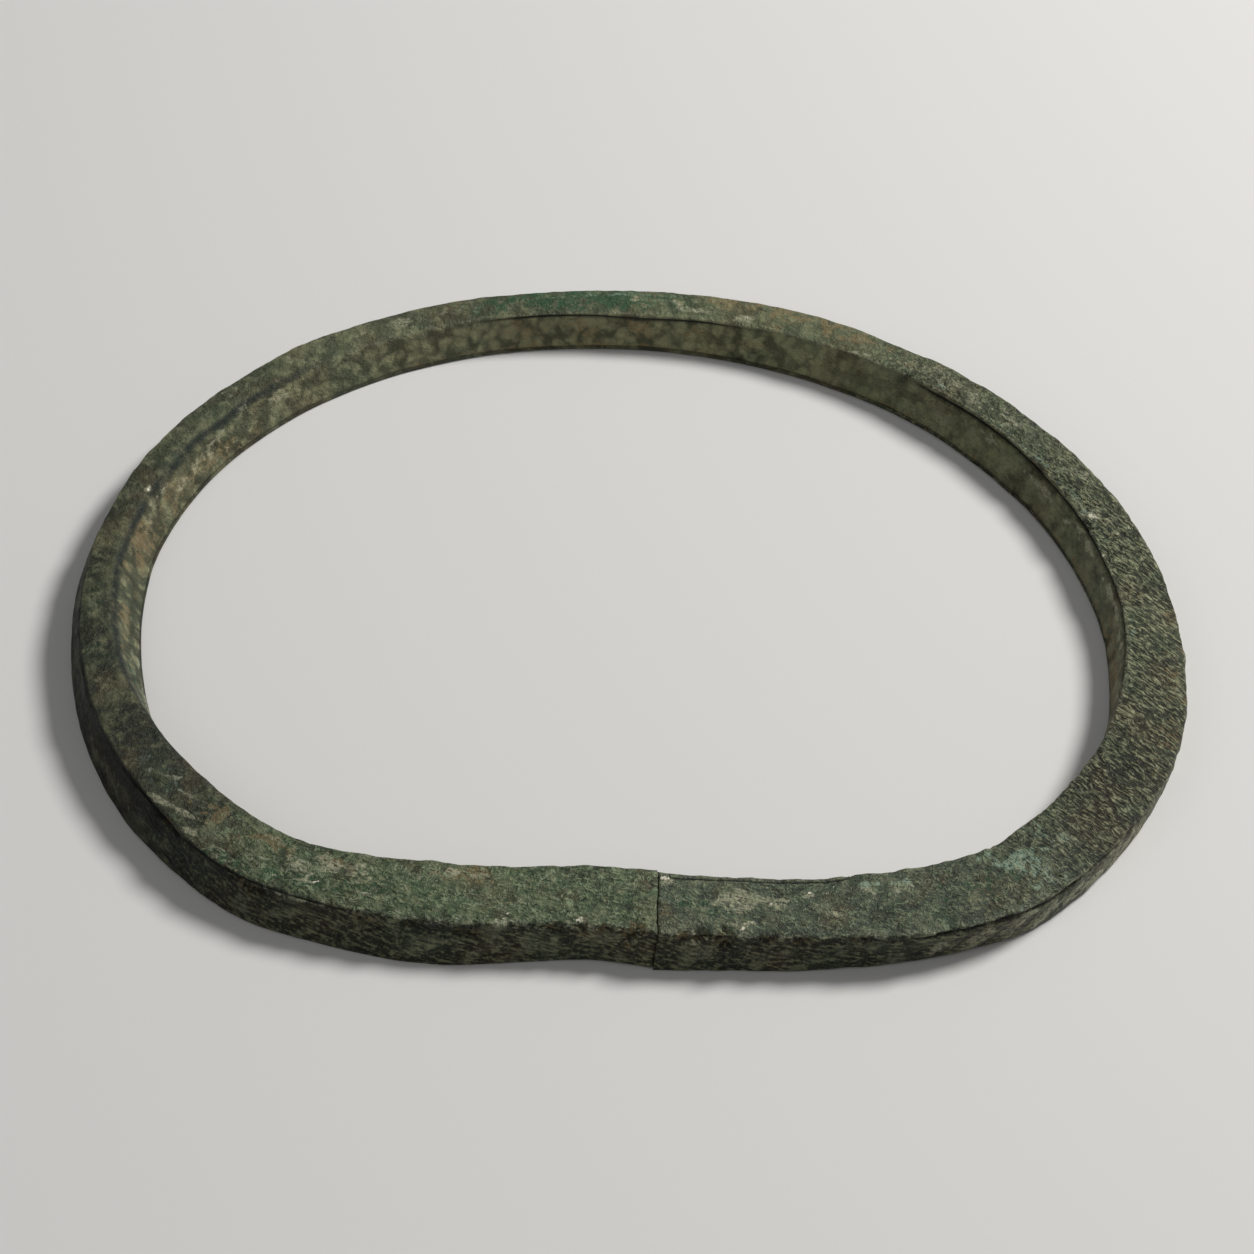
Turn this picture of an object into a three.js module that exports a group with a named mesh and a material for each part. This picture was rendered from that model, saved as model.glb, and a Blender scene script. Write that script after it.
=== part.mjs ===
// Ancient bronze bangle: one four-sided bar, hammered and bent into a flat-fronted oval until its
// two ends butt together at the front. It lies on its side, as it does when it is loose.
import * as THREE from "three";

// Driving dimensions, in millimetres. +X is the hoop's right, +Y its back and +Z is up.
// The origin is under the middle of the hoop, on the surface that it lies on.
const HOOP_WIDTH = 76;
const HOOP_DEPTH = 62.4;
const BAR_HEIGHT = 3;
const TOP_WIDTH = 5.6;
const EDGE_WEAR = 0.32;
const FOOT_WEAR = 0.3;
const TOP_CROWN = 0.08;
const END_GAP = 0.16;
const SEAM_LEAN = 0.35;
const SQUARED_END = 4;
const SHOULDER_STRIP_LENGTH = 13;
const SHOULDER_STRIP_WIDTH = 0.5;
const STRIP_FADE = 1.5;

// How finely the bar is faceted: rings along it, and steps round each worn edge. The length of
// the curve is measured in several steps for each ring, so that the rings come out even.
const RINGS = 190;
const EDGE_STEPS = 2;
const STEPS_PER_RING = 10;

// The hand-bent bar, read from its right-hand end round the back to its left-hand end.
// turn: degrees round the hoop from the middle of the front, towards the right and the back.
// reach: where the middle of the top face runs, as a share of the plain oval over the outer faces.
// top: width of the top face, as a share of TOP_WIDTH.
// inner, outer: how far the foot of each wall stands out from the edge above it, as shares of
// BAR_HEIGHT; a foot that is tucked in under its edge is negative.
const STATIONS = [
  { turn: 2.7, reach: 0.904, top: 0.91, inner: 0.08, outer: 0.24 },
  { turn: 10, reach: 0.926, top: 0.88, inner: 0.1, outer: 0.19 },
  { turn: 20, reach: 0.974, top: 0.9, inner: 0.12, outer: 0.1 },
  { turn: 30, reach: 1.03, top: 0.98, inner: 0.15, outer: -0.1 },
  { turn: 40, reach: 1.047, top: 0.96, inner: 0.18, outer: -0.06 },
  { turn: 60, reach: 1.007, top: 0.88, inner: 0.1, outer: -0.15 },
  { turn: 80, reach: 0.945, top: 0.66, inner: 0.36, outer: 0.05 },
  { turn: 100, reach: 0.901, top: 0.59, inner: 0.43, outer: 0.12 },
  { turn: 120, reach: 0.888, top: 0.52, inner: 0.52, outer: 0.12 },
  { turn: 140, reach: 0.898, top: 0.47, inner: 0.49, outer: 0.12 },
  { turn: 160, reach: 0.925, top: 0.5, inner: 0.46, outer: 0.13 },
  { turn: 180, reach: 0.941, top: 0.52, inner: 0.27, outer: 0.12 },
  { turn: 200, reach: 0.963, top: 0.45, inner: 0.3, outer: 0.14 },
  { turn: 220, reach: 0.97, top: 0.46, inner: 0.37, outer: 0.18 },
  { turn: 240, reach: 0.962, top: 0.39, inner: 0.53, outer: 0.26 },
  { turn: 260, reach: 0.953, top: 0.38, inner: 0.56, outer: 0.39 },
  { turn: 280, reach: 0.954, top: 0.44, inner: 0.51, outer: 0.31 },
  { turn: 300, reach: 0.966, top: 0.63, inner: 0.08, outer: 0.4 },
  { turn: 320, reach: 0.99, top: 0.78, inner: 0.15, outer: 0.37 },
  { turn: 330, reach: 0.97, top: 0.82, inner: 0.15, outer: 0.34 },
  { turn: 340, reach: 0.932, top: 0.85, inner: 0.12, outer: 0.44 },
  { turn: 350, reach: 0.899, top: 0.84, inner: 0.08, outer: 0.25 },
  { turn: 357, reach: 0.889, top: 0.87, inner: 0.08, outer: 0.2 },
  { turn: 362.7, reach: 0.904, top: 0.91, inner: 0.08, outer: 0.2 },
];

// Hollows knocked into the outer wall: where, over what length, and how deep.
const OUTER_HOLLOWS = [
  { turn: 299, length: 11, depth: 0.42 },
  { turn: 334, length: 9, depth: 0.18 },
];

// Where the middle of the top face passes a station, seen from above.
function pointOnPlan({ turn, reach }) {
  const angle = THREE.MathUtils.degToRad(turn);
  const x = reach * Math.sin(angle) * HOOP_WIDTH / 2;
  const y = -reach * Math.cos(angle) * HOOP_DEPTH / 2;
  return new THREE.Vector3(x, y, 0);
}

const plan = new THREE.CatmullRomCurve3(STATIONS.map(pointOnPlan), false, "centripetal");
plan.arcLengthDivisions = RINGS * STEPS_PER_RING;
const barLength = plan.getLength();

const sectionSizes = new THREE.CatmullRomCurve3(
  STATIONS.map(({ top, inner, outer }) => {
    return new THREE.Vector3(top * TOP_WIDTH, inner * BAR_HEIGHT, outer * BAR_HEIGHT);
  }),
  false,
  "catmullrom",
);

// The turn at each place along the bar, so that a hollow can be set by its turn.
function turnAt(t) {
  const place = t * (STATIONS.length - 1);
  const index = Math.min(Math.floor(place), STATIONS.length - 2);
  return THREE.MathUtils.lerp(STATIONS[index].turn, STATIONS[index + 1].turn, place - index);
}

// Length along the bar for one degree of turn, near enough for the length of a hollow.
const lengthPerDegree = barLength / 360;

function hollowAt(turn) {
  let depth = 0;
  for (const hollow of OUTER_HOLLOWS) {
    const distance = (turn - hollow.turn) * lengthPerDegree;
    const nearness = Math.max(0, 1 - (2 * distance / hollow.length) ** 2);
    depth += hollow.depth * nearness ** 2;
  }
  return depth;
}

// A worn corner: a short curve from one side of it to the other, instead of the sharp point.
function wornCorner(before, corner, after, wear) {
  const start = corner.clone().add(before.clone().sub(corner).setLength(wear));
  const end = corner.clone().add(after.clone().sub(corner).setLength(wear));
  const curve = new THREE.QuadraticBezierCurve(start, corner, end);
  return curve.getPoints(EDGE_STEPS);
}

// The bar cut across: x runs outwards from the middle of the top face, y runs up.
function sectionOutline({ top, inner, outer, hollow, innerEdgeWear }) {
  const innerFoot = new THREE.Vector2(-top / 2 - inner, 0);
  const outerFoot = new THREE.Vector2(top / 2 + outer, 0);
  const outerEdge = new THREE.Vector2(top / 2, BAR_HEIGHT - TOP_CROWN);
  const innerEdge = new THREE.Vector2(-top / 2, BAR_HEIGHT - TOP_CROWN);
  const outerMiddle = outerFoot.clone().lerp(outerEdge, 0.5);
  outerMiddle.x -= hollow;
  const innerMiddle = innerFoot.clone().lerp(innerEdge, 0.5);
  return [
    ...wornCorner(innerMiddle, innerFoot, outerFoot, FOOT_WEAR),
    ...wornCorner(innerFoot, outerFoot, outerMiddle, FOOT_WEAR),
    outerMiddle,
    ...wornCorner(outerMiddle, outerEdge, innerEdge, EDGE_WEAR),
    new THREE.Vector2(0, BAR_HEIGHT),
    ...wornCorner(outerEdge, innerEdge, innerMiddle, innerEdgeWear),
    innerMiddle,
  ];
}

// The strip hammered along the inner shoulder, from the right-hand end for a short way.
function innerEdgeWearAt(distance) {
  const fade = THREE.MathUtils.smoothstep(distance, SHOULDER_STRIP_LENGTH - STRIP_FADE, SHOULDER_STRIP_LENGTH);
  return THREE.MathUtils.lerp(SHOULDER_STRIP_WIDTH, EDGE_WEAR, fade);
}

// One ring of points round the bar, at a distance along it. Close to the ends the rings turn to
// face straight along the front and lean together, so that the two end faces meet as one seam.
function ringAt(distance) {
  const t = plan.getUtoTmapping(0, distance);
  const middle = plan.getPoint(t);
  const [top, inner, outer] = sectionSizes.getPoint(t).toArray();
  const hollow = hollowAt(turnAt(t));
  const outline = sectionOutline({ top, inner, outer, hollow, innerEdgeWear: innerEdgeWearAt(distance) });

  const fromEnd = Math.min(distance, barLength - distance);
  const nearEnd = 1 - THREE.MathUtils.smoothstep(fromEnd, 0, SQUARED_END);
  const forward = plan.getTangent(t).lerp(new THREE.Vector3(1, 0, 0), nearEnd).normalize();
  const outward = new THREE.Vector3(forward.y, -forward.x, 0);
  const lean = SEAM_LEAN * nearEnd / BAR_HEIGHT;
  return outline.map((point) => {
    const place = middle.clone().addScaledVector(outward, point.x);
    place.addScaledVector(forward, lean * (point.y - BAR_HEIGHT / 2));
    place.z = point.y;
    return place;
  });
}

// Skins the rings into one closed body, with a flat face over each end.
function skinRings(rings) {
  const size = rings[0].length;
  const positions = rings.flat().flatMap((point) => point.toArray());
  const faces = [];
  for (let ring = 0; ring < rings.length - 1; ring += 1) {
    for (let side = 0; side < size; side += 1) {
      const next = (side + 1) % size;
      const near = ring * size;
      const far = near + size;
      faces.push(near + side, far + next, near + next);
      faces.push(near + side, far + side, far + next);
    }
  }
  const lastRing = (rings.length - 1) * size;
  for (let side = 1; side < size - 1; side += 1) {
    faces.push(0, side, side + 1);
    faces.push(lastRing, lastRing + side + 1, lastRing + side);
  }
  const geometry = new THREE.BufferGeometry();
  geometry.setAttribute("position", new THREE.Float32BufferAttribute(positions, 3));
  geometry.setIndex(faces);
  return geometry;
}

// The bar from end to end, shifted so that the origin is under the middle of its outline.
function buildBar() {
  const rings = [];
  const first = END_GAP / 2;
  const step = (barLength - END_GAP) / RINGS;
  for (let ring = 0; ring <= RINGS; ring += 1) {
    rings.push(ringAt(first + ring * step));
  }
  const geometry = skinRings(rings);
  geometry.computeBoundingBox();
  const centre = geometry.boundingBox.getCenter(new THREE.Vector3());
  geometry.translate(-centre.x, -centre.y, 0);
  geometry.computeVertexNormals();
  return geometry;
}

const patinatedBronze = new THREE.MeshStandardMaterial({
  color: 0x5a5c44,
  roughness: 0.62,
  metalness: 0.25,
});

const bangle = new THREE.Mesh(buildBar(), patinatedBronze);
bangle.name = "bangle";

const group = new THREE.Group();
group.add(bangle);

export default group;
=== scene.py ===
import math

import bpy
import numpy as np
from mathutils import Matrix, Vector
from mathutils.bvhtree import BVHTree


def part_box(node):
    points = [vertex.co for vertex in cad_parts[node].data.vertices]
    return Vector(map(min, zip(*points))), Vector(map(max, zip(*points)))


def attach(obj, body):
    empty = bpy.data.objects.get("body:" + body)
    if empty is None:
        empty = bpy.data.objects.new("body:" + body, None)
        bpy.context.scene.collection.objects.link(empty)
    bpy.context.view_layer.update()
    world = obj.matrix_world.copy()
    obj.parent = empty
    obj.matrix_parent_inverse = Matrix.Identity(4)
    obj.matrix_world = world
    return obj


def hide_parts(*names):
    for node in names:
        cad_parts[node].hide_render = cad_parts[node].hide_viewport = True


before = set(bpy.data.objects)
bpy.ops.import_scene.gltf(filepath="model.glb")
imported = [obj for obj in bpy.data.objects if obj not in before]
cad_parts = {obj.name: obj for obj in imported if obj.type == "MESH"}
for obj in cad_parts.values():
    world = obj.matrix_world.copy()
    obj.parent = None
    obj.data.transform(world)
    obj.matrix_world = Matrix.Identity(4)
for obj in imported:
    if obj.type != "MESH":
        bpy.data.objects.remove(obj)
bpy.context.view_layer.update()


# The view: a hand lens's distance from the hoop, in front of it and above, looking down at a
# place a little in front of its middle, with the butted ends nearest.
MM = 0.001
view_height_angle = math.radians(46)
view_distance = 220
view_target = Vector((0.35, -2.9, 1.5))
view_side = Vector((0, -math.cos(view_height_angle), math.sin(view_height_angle)))

camera_data = bpy.data.cameras.new("camera")
camera_data.lens = 92.84
camera_data.sensor_width = 36
camera_data.clip_start = 10 * MM
camera = bpy.data.objects.new("camera", camera_data)
camera.location = (view_target + view_distance * view_side) * MM
camera.rotation_euler = (math.radians(90) - view_height_angle, 0, 0)
bpy.context.collection.objects.link(camera)
bpy.context.scene.camera = camera
bpy.context.scene.view_settings.view_transform = "Standard"


# The bronze bar: one four-sided bar, cast, hammered and bent round until its two ends butt
# together at the front. Its walls are read off the solid and skinned again, finely enough to
# carry the tool marks, pits and crust. Lengths in this section are millimetres.
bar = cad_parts["bangle"]
lowest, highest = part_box("bangle")
bar_height = (highest[2] - lowest[2]) / MM
half_height = bar_height / 2


def solid_of(node):
    """The node's solid, in millimetres, ready for lines to be cast at it."""
    mesh = node.data
    points = np.empty(3 * len(mesh.vertices), np.float32)
    mesh.vertices.foreach_get("co", points)
    mesh.calc_loop_triangles()
    triangles = np.empty(3 * len(mesh.loop_triangles), np.int32)
    mesh.loop_triangles.foreach_get("vertices", triangles)
    return BVHTree.FromPolygons((points.reshape(-1, 3) / MM).tolist(), triangles.reshape(-1, 3).tolist())


solid = solid_of(bar)


def reach(start, direction):
    """How far the bronze's surface is from a place."""
    return solid.ray_cast(start, direction)[3]


def through_bar(start, away):
    """How far off a level line from inside the hoop enters the bar, and leaves it."""
    enters = reach(start, away)
    just_inside = enters + 0.01
    return enters, just_inside + reach(start + away * just_inside, away)


def end_face(probe_x, side):
    """The middle of one butted end, half way up, and how far it leans for each mm of height.

    The end is looked for from a place inside the bar, to its left (-1) or its right (1).
    """
    to_front = Vector((0, -1, 0))
    to_end = Vector((side, 0, 0))
    middle_y = -sum(through_bar(Vector((probe_x, 0, half_height)), to_front)) / 2
    low, high = (
        probe_x + side * reach(Vector((probe_x, middle_y, half_height * share)), to_end)
        for share in (0.5, 1.5)
    )
    face_x = (low + high) / 2
    just_behind = Vector((face_x - 0.1 * side, 0, half_height))
    face_y = -sum(through_bar(just_behind, to_front)) / 2
    return np.array((face_x, face_y)), (high - low) / half_height


def smoothed(values, rings):
    """Values along the bar without the solid's facets, with both ends kept."""
    window = np.exp(-0.5 * (np.arange(-3 * rings, 3 * rings + 1) / rings) ** 2)
    window /= window.sum()
    before = 2 * values[:1] - values[3 * rings:0:-1]
    after = 2 * values[-1:] - values[-2:-3 * rings - 2:-1]
    padded = np.concatenate((before, values, after))
    return np.stack([np.convolve(column, window, "valid") for column in padded.T], axis=1)


right_probe, left_probe = 6, -2
right_end, seam_lean = end_face(right_probe, -1)
left_end, _ = end_face(left_probe, 1)

# The middle line of the bar, from the right-hand end round the back to the left-hand end.
seam_margin = 0.6
line_points = 900
line_smoothing = 5
first_turn = math.atan2(right_end[0] + seam_margin, -right_end[1])
last_turn = 2 * math.pi + math.atan2(left_end[0] - seam_margin, -left_end[1])
middle_line = [right_end]
for turn in np.linspace(first_turn, last_turn, line_points):
    away = Vector((math.sin(turn), -math.cos(turn), 0))
    half_way = sum(through_bar(Vector((0, 0, half_height)), away)) / 2
    middle_line.append(np.array(away.xy) * half_way)
middle_line.append(left_end)
middle_line = smoothed(np.array(middle_line), line_smoothing)
line_steps = np.linalg.norm(np.diff(middle_line, axis=0), axis=1)
line_places = np.concatenate(((0,), np.cumsum(line_steps)))
bar_length = line_places[-1]

# Rings of points round the bar, closest on the right-hand arm, where the tool marks are finest.
ring_count = 1200
fine_from, fine_to = 3, 72
fine_weight = 1.5
weighed_places = 4000
ring_smoothing = 4
places = np.linspace(0, bar_length, weighed_places)
weights = np.where((places > fine_from) & (places < fine_to), fine_weight, 1)
ring_shares = np.concatenate(((0,), np.cumsum((weights[1:] + weights[:-1]) / 2)))
along = np.interp(np.linspace(0, ring_shares[-1], ring_count), ring_shares, places)
middles = np.stack([np.interp(along, line_places, middle_line[:, axis]) for axis in (0, 1)], axis=1)
middles = smoothed(middles, ring_smoothing)

# Each ring faces along the bar, but near the ends it turns and leans with the seam.
squared_length = 4
near_end = 1 - np.clip(np.minimum(along, bar_length - along) / squared_length, 0, 1)
near_end = near_end ** 2 * (3 - 2 * near_end)
forward = np.gradient(middles, along, axis=0)
forward /= np.linalg.norm(forward, axis=1, keepdims=True)
forward += (np.array((1, 0)) - forward) * near_end[:, None]
forward /= np.linalg.norm(forward, axis=1, keepdims=True)
outward = np.stack((forward[:, 1], -forward[:, 0]), axis=1)
lean = seam_lean * near_end

# The inner and outer wall of each ring, read at three heights.
wall_heights = bar_height * np.array((0.13, 0.49, 0.84))
end_inset = 0.01
wall_smoothing = 5
walls = np.empty((ring_count, 2, len(wall_heights)))
for ring in range(ring_count):
    inset = end_inset * ((ring == 0) - (ring == ring_count - 1))
    away = Vector((*outward[ring], 0))
    for level, height in enumerate(wall_heights):
        shift = lean[ring] * (height - half_height) + inset
        start = Vector((*(middles[ring] + forward[ring] * shift), height))
        walls[ring, 0, level] = -reach(start, -away)
        walls[ring, 1, level] = reach(start, away)
walls = smoothed(walls.reshape(ring_count, -1), wall_smoothing).reshape(walls.shape)
inner_wall, outer_wall = walls[:, 0], walls[:, 1]
FOOT, MIDDLE, EDGE = range(3)


def wall_place(wall, lower, upper, height):
    """A wall carried straight on from two of its read heights, as places out and up."""
    share = (height - wall_heights[lower]) / (wall_heights[upper] - wall_heights[lower])
    sideways = wall[:, lower] + (wall[:, upper] - wall[:, lower]) * share
    return np.stack((sideways, np.full(ring_count, height)), axis=1)


top_crown = 0.08
edge_height = bar_height - top_crown
inner_foot = wall_place(inner_wall, FOOT, MIDDLE, 0)
outer_foot = wall_place(outer_wall, FOOT, MIDDLE, 0)
inner_middle = wall_place(inner_wall, MIDDLE, EDGE, wall_heights[MIDDLE])
outer_middle = wall_place(outer_wall, MIDDLE, EDGE, wall_heights[MIDDLE])
inner_edge = wall_place(inner_wall, MIDDLE, EDGE, edge_height)
outer_edge = wall_place(outer_wall, MIDDLE, EDGE, edge_height)


def lumps(points, size, seed, octaves=2):
    """Smooth random unevenness, about -1 to 1, with lumps of a size in mm that may differ by axis."""
    cells = 48
    table = np.random.default_rng(seed).uniform(-1, 1, (cells, cells, cells))
    scaled = points / np.asarray(size, float)
    total = np.zeros(points.shape[:-1])
    strength, whole = 1.0, 0.0
    for octave in range(octaves):
        cell = np.floor(scaled).astype(int)
        part = scaled - cell
        part = part * part * (3 - 2 * part)
        for corner in range(8):
            step = np.array((corner & 1, corner >> 1 & 1, corner >> 2 & 1))
            share = np.prod(np.where(step == 1, part, 1 - part), axis=-1)
            x, y, z = np.moveaxis((cell + step) % cells, -1, 0)
            total += strength * share * table[x, y, z]
        whole += strength
        scaled = scaled * 2.03 + 17.3
        strength *= 0.5
    return total * 1.7 / whole


def along_bar(size, seed, octaves=3):
    """Unevenness that changes only along the bar."""
    return lumps(np.stack((along, 0 * along, 0 * along), axis=1), size, seed, octaves)


def wear_along(typical, spread, seed):
    """How far a corner is worn: crisp in places and rubbed in others, by turns along the bar."""
    return typical + spread * along_bar(4, seed)


# The strip hammered along the inner shoulder runs from the seam for a short way.
strip_length, strip_fade, strip_width = 13, 1.5, 0.5
on_strip = np.clip((strip_length - along) / strip_fade, 0, 1)
inner_edge_wear = wear_along(0.24, 0.07, 2) * (1 - on_strip) + strip_width * on_strip
outer_edge_wear = wear_along(0.27, 0.09, 1)
foot_wear = wear_along(0.34, 0.08, 3)

# The outline round each ring. Across the skin, a place is numbered by the corners: -1 is the
# inner foot, 0 the outer foot, 1 the outer top edge, 2 the inner top edge and 3 the inner foot.
# A worn corner takes up corner_spread on both sides of its number.
corner_spread = 0.05
outline, across_of = [], []


def towards(corner, other, distance):
    way = other - corner
    return corner + way / np.linalg.norm(way, axis=1, keepdims=True) * distance[:, None]


def add_corner(number, before, corner, after, wear, count):
    start, end = towards(corner, before, wear), towards(corner, after, wear)
    for share in np.linspace(0, 1, count):
        outline.append(start * (1 - share) ** 2 + corner * 2 * share * (1 - share) + end * share ** 2)
        across_of.append(number + corner_spread * (2 * share - 1))


def add_run(first, last, start, end, count, rise=0.0):
    """Points between two corners, or between a corner and the middle of a wall."""
    for share in np.linspace(0, 1, count + 2)[1:-1]:
        point = start * (1 - share) + end * share
        point[:, 1] += rise * 4 * share * (1 - share)
        outline.append(point)
        across_of.append(first + (last - first) * share)


corner_points = 6
foot_points = 4
underside_points = 5
half_wall_points = 7
top_points = 26
add_corner(-1, inner_middle, inner_foot, outer_foot, foot_wear, foot_points)
add_run(-0.95, -0.05, towards(inner_foot, outer_foot, foot_wear), towards(outer_foot, inner_foot, foot_wear),
        underside_points)
add_corner(0, inner_foot, outer_foot, outer_middle, foot_wear, foot_points)
add_run(0.05, 0.5, towards(outer_foot, outer_middle, foot_wear), outer_middle, half_wall_points)
add_run(0.5, 0.95, outer_middle, towards(outer_edge, outer_middle, outer_edge_wear), half_wall_points)
add_corner(1, outer_middle, outer_edge, inner_edge, outer_edge_wear, corner_points)
add_run(1.05, 1.95, towards(outer_edge, inner_edge, outer_edge_wear),
        towards(inner_edge, outer_edge, inner_edge_wear), top_points, top_crown)
add_corner(2, outer_edge, inner_edge, inner_middle, inner_edge_wear, corner_points)
add_run(2.05, 2.5, towards(inner_edge, inner_middle, inner_edge_wear), inner_middle, half_wall_points)
add_run(2.5, 2.95, inner_middle, towards(inner_foot, inner_middle, foot_wear), half_wall_points)
outline = np.stack(outline, axis=1)
across_of = np.array(across_of)
points_round = len(across_of)
across = np.broadcast_to(across_of, (ring_count, points_round))

around = np.zeros((ring_count, points_round))
around[:, 1:] = np.cumsum(np.linalg.norm(np.diff(outline, axis=1), axis=2), axis=1)
around -= around[:, [int(np.argmin(abs(across_of - 1)))]]

shift = lean[:, None] * (outline[:, :, 1] - half_height)
skin = np.empty((ring_count, points_round, 3))
skin[:, :, :2] = middles[:, None] + outward[:, None] * outline[:, :, :1]
skin[:, :, :2] += forward[:, None] * shift[:, :, None]
skin[:, :, 2] = outline[:, :, 1]


def eased(low, high, values):
    share = np.clip((values - low) / (high - low), 0, 1)
    return share * share * (3 - 2 * share)


def round_at(number):
    """How far round each ring a numbered place is, in mm."""
    index = np.interp(number, across_of, np.arange(points_round)) + np.zeros(ring_count)
    before = np.minimum(index.astype(int), points_round - 2)
    rings = np.arange(ring_count)
    share = index - before
    return around[rings, before] * (1 - share) + around[rings, before + 1] * share


# The faces: how much of each point belongs to the top, the inner wall, the outer wall or below.
on_top = eased(0.96, 1.04, across) * (1 - eased(1.96, 2.04, across))
on_inner = eased(1.96, 2.04, across) * (1 - eased(2.97, 3.0, across))
on_outer = eased(-0.03, 0.03, across) * (1 - eased(0.96, 1.04, across))
underneath = 1 - on_top - on_inner - on_outer

unrolled = np.stack((np.broadcast_to(along[:, None], around.shape), around, 0 * around), axis=-1)
ragged_edge = 0.6 * lumps(skin, size=1.1, seed=21) + 0.6 * lumps(skin, size=0.35, seed=22)


def stretch(first, start, end, last):
    """The stretch of the bar between two places: 1 on it, fading to 0 at both ends."""
    return (eased(first, start, along) * (1 - eased(end, last, along)))[:, None]


def round_front(right_full, right_none, left_none, left_full):
    """The stretch on both sides of the seam: 1 next to it, fading to 0 on each arm."""
    return np.maximum(1 - eased(right_full, right_none, along), eased(left_none, left_full, along))[:, None]


def mark(place, number, length, width, turned=0.0, ragged=0.5, soft=0.4):
    """A patch on the skin: 1 inside, 0 outside, ragged round its edge. It leans by turned degrees."""
    ahead = along[:, None] - place
    sideways = around - round_at(number)[:, None]
    cosine, sine = math.cos(math.radians(turned)), math.sin(math.radians(turned))
    lengthwise = (ahead * cosine + sideways * sine) / (length / 2)
    crosswise = (sideways * cosine - ahead * sine) / (width / 2)
    inside = 1 - np.hypot(lengthwise, crosswise) + ragged * ragged_edge
    return eased(0, soft, inside)


def line(first, last, number, width, waver, seed, fade):
    """A line along the bar between two places, fading at both ends: 1 at its middle, 0 beside it."""
    wanders = number + waver * along_bar(3, seed)
    sideways = (around - round_at(wanders)[:, None]) / (width / 2)
    return np.clip(1 - sideways ** 2, 0, 1) * stretch(first, first + fade, last - fade, last)


# Along the front and the right-hand arm the scale is crisp and rough, and it is worn smoother
# round the back and the left-hand arm.
least_crisp = 0.35
crisp = least_crisp + (1 - least_crisp) * round_front(76, 92, 168, 180)

# The relief: hammer blows, swellings and scale all over, with their depths in mm.
hammer_depth, swelling_depth, scale_depth = 0.06, 0.035, 0.055
relief = hammer_depth * lumps(skin, size=6.5, seed=11)
relief += swelling_depth * lumps(skin, size=2.2, seed=12) * crisp
scale_relief = scale_depth * lumps(skin, size=0.85, seed=13) * crisp

# Fine parallel strokes cross the top of the right-hand arm, all of them turned the same way.
stroke_turn = math.radians(-48)
stroke_size = (1.3, 0.38, 3)
stroke_depth = 0.035
along_stroke = skin[:, :, 0] * math.cos(stroke_turn) + skin[:, :, 1] * math.sin(stroke_turn)
beside_stroke = skin[:, :, 1] * math.cos(stroke_turn) - skin[:, :, 0] * math.sin(stroke_turn)
strokes_here = on_top * stretch(12, 34, 58, 74)
strokes = lumps(np.stack((along_stroke, beside_stroke, skin[:, :, 2]), axis=-1), stroke_size, seed=14)
scale_relief = scale_relief * (1 - 0.65 * strokes_here) + stroke_depth * strokes * strokes_here

# Longer strokes run slantwise along the outer wall.
wall_slant = np.array(((0.94, -0.34, 0), (0.34, 0.94, 0), (0, 0, 1)))
wall_stroke_size = (1.8, 0.5, 1)
wall_stroke_depth = 0.06
scale_relief += wall_stroke_depth * lumps(unrolled @ wall_slant, wall_stroke_size, seed=15) * on_outer
relief += scale_relief
scale_height = 0.12
high_spots = np.clip(0.5 + scale_relief / scale_height, 0, 1)

# Pits of all sizes are scattered over the top and the walls, and most of them are small.
pit_count = 300
narrowest_pit, widest_pit = 0.25, 0.85
pit_raggedness = 0.7
pit_depth_share = 0.2
pit_places = np.random.default_rng(40)
pits = np.zeros_like(relief)
for pit in range(pit_count):
    place, number = pit_places.uniform(0, bar_length), pit_places.uniform(0.1, 2.9)
    width = narrowest_pit + (widest_pit - narrowest_pit) * pit_places.uniform() ** 2
    rings = slice(*np.searchsorted(along, (place - width, place + width)))
    ahead = along[rings, None] - place
    sideways = around[rings] - round_at(number)[rings, None]
    from_middle = np.hypot(ahead, sideways) / (width / 2)
    bowl = np.clip(1 - from_middle + pit_raggedness * ragged_edge[rings], 0, 1)
    pits[rings] = np.maximum(pits[rings], width * pit_depth_share * bowl)
relief -= pits

# The cracks and grooves along the bar: first and last place, numbered place across it, width,
# waver, seed, fade at the ends, depth (below nothing for a raised lip) and how dark it is painted,
# as dirt and painted shade in the cut.
cuts = {
    "crack under the inner edge": (34, 80, 2.05, 0.32, 0.012, 51, 4, 0.22, 1),
    "lip above that crack": (35, 78, 1.99, 0.3, 0.01, 51, 2, -0.07, 0),
    "groove down the left-hand arm": (122, 178, 2.03, 0.9, 0.02, 52, 10, 0.09, 0.4),
    "edge of the hammered strip": (-1, strip_length, 1.945, 0.2, 0.005, 53, 1, 0.07, 1),
    "ledge at the back": (88, 116, 2.06, 0.3, 0.01, 54, 8, 0.12, 1),
    "crack under the left outer edge": (150, 168, 0.97, 0.35, 0.02, 55, 4, 0.08, 1.1),
    "crack under the right outer edge": (13, 40, 0.9, 0.42, 0.06, 56, 4, 0.2, 1),
    "crack round the front left corner": (166, 190, 0.985, 0.3, 0.03, 57, 3, 0.12, 1),
}
cut_shape = {}
cut_shade = np.zeros_like(relief)
for name, (*course, depth, darkness) in cuts.items():
    cut_shape[name] = line(*course)
    relief -= depth * cut_shape[name]
    cut_shade = np.maximum(cut_shade, darkness * cut_shape[name])
inner_groove = cut_shape["groove down the left-hand arm"]

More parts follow.
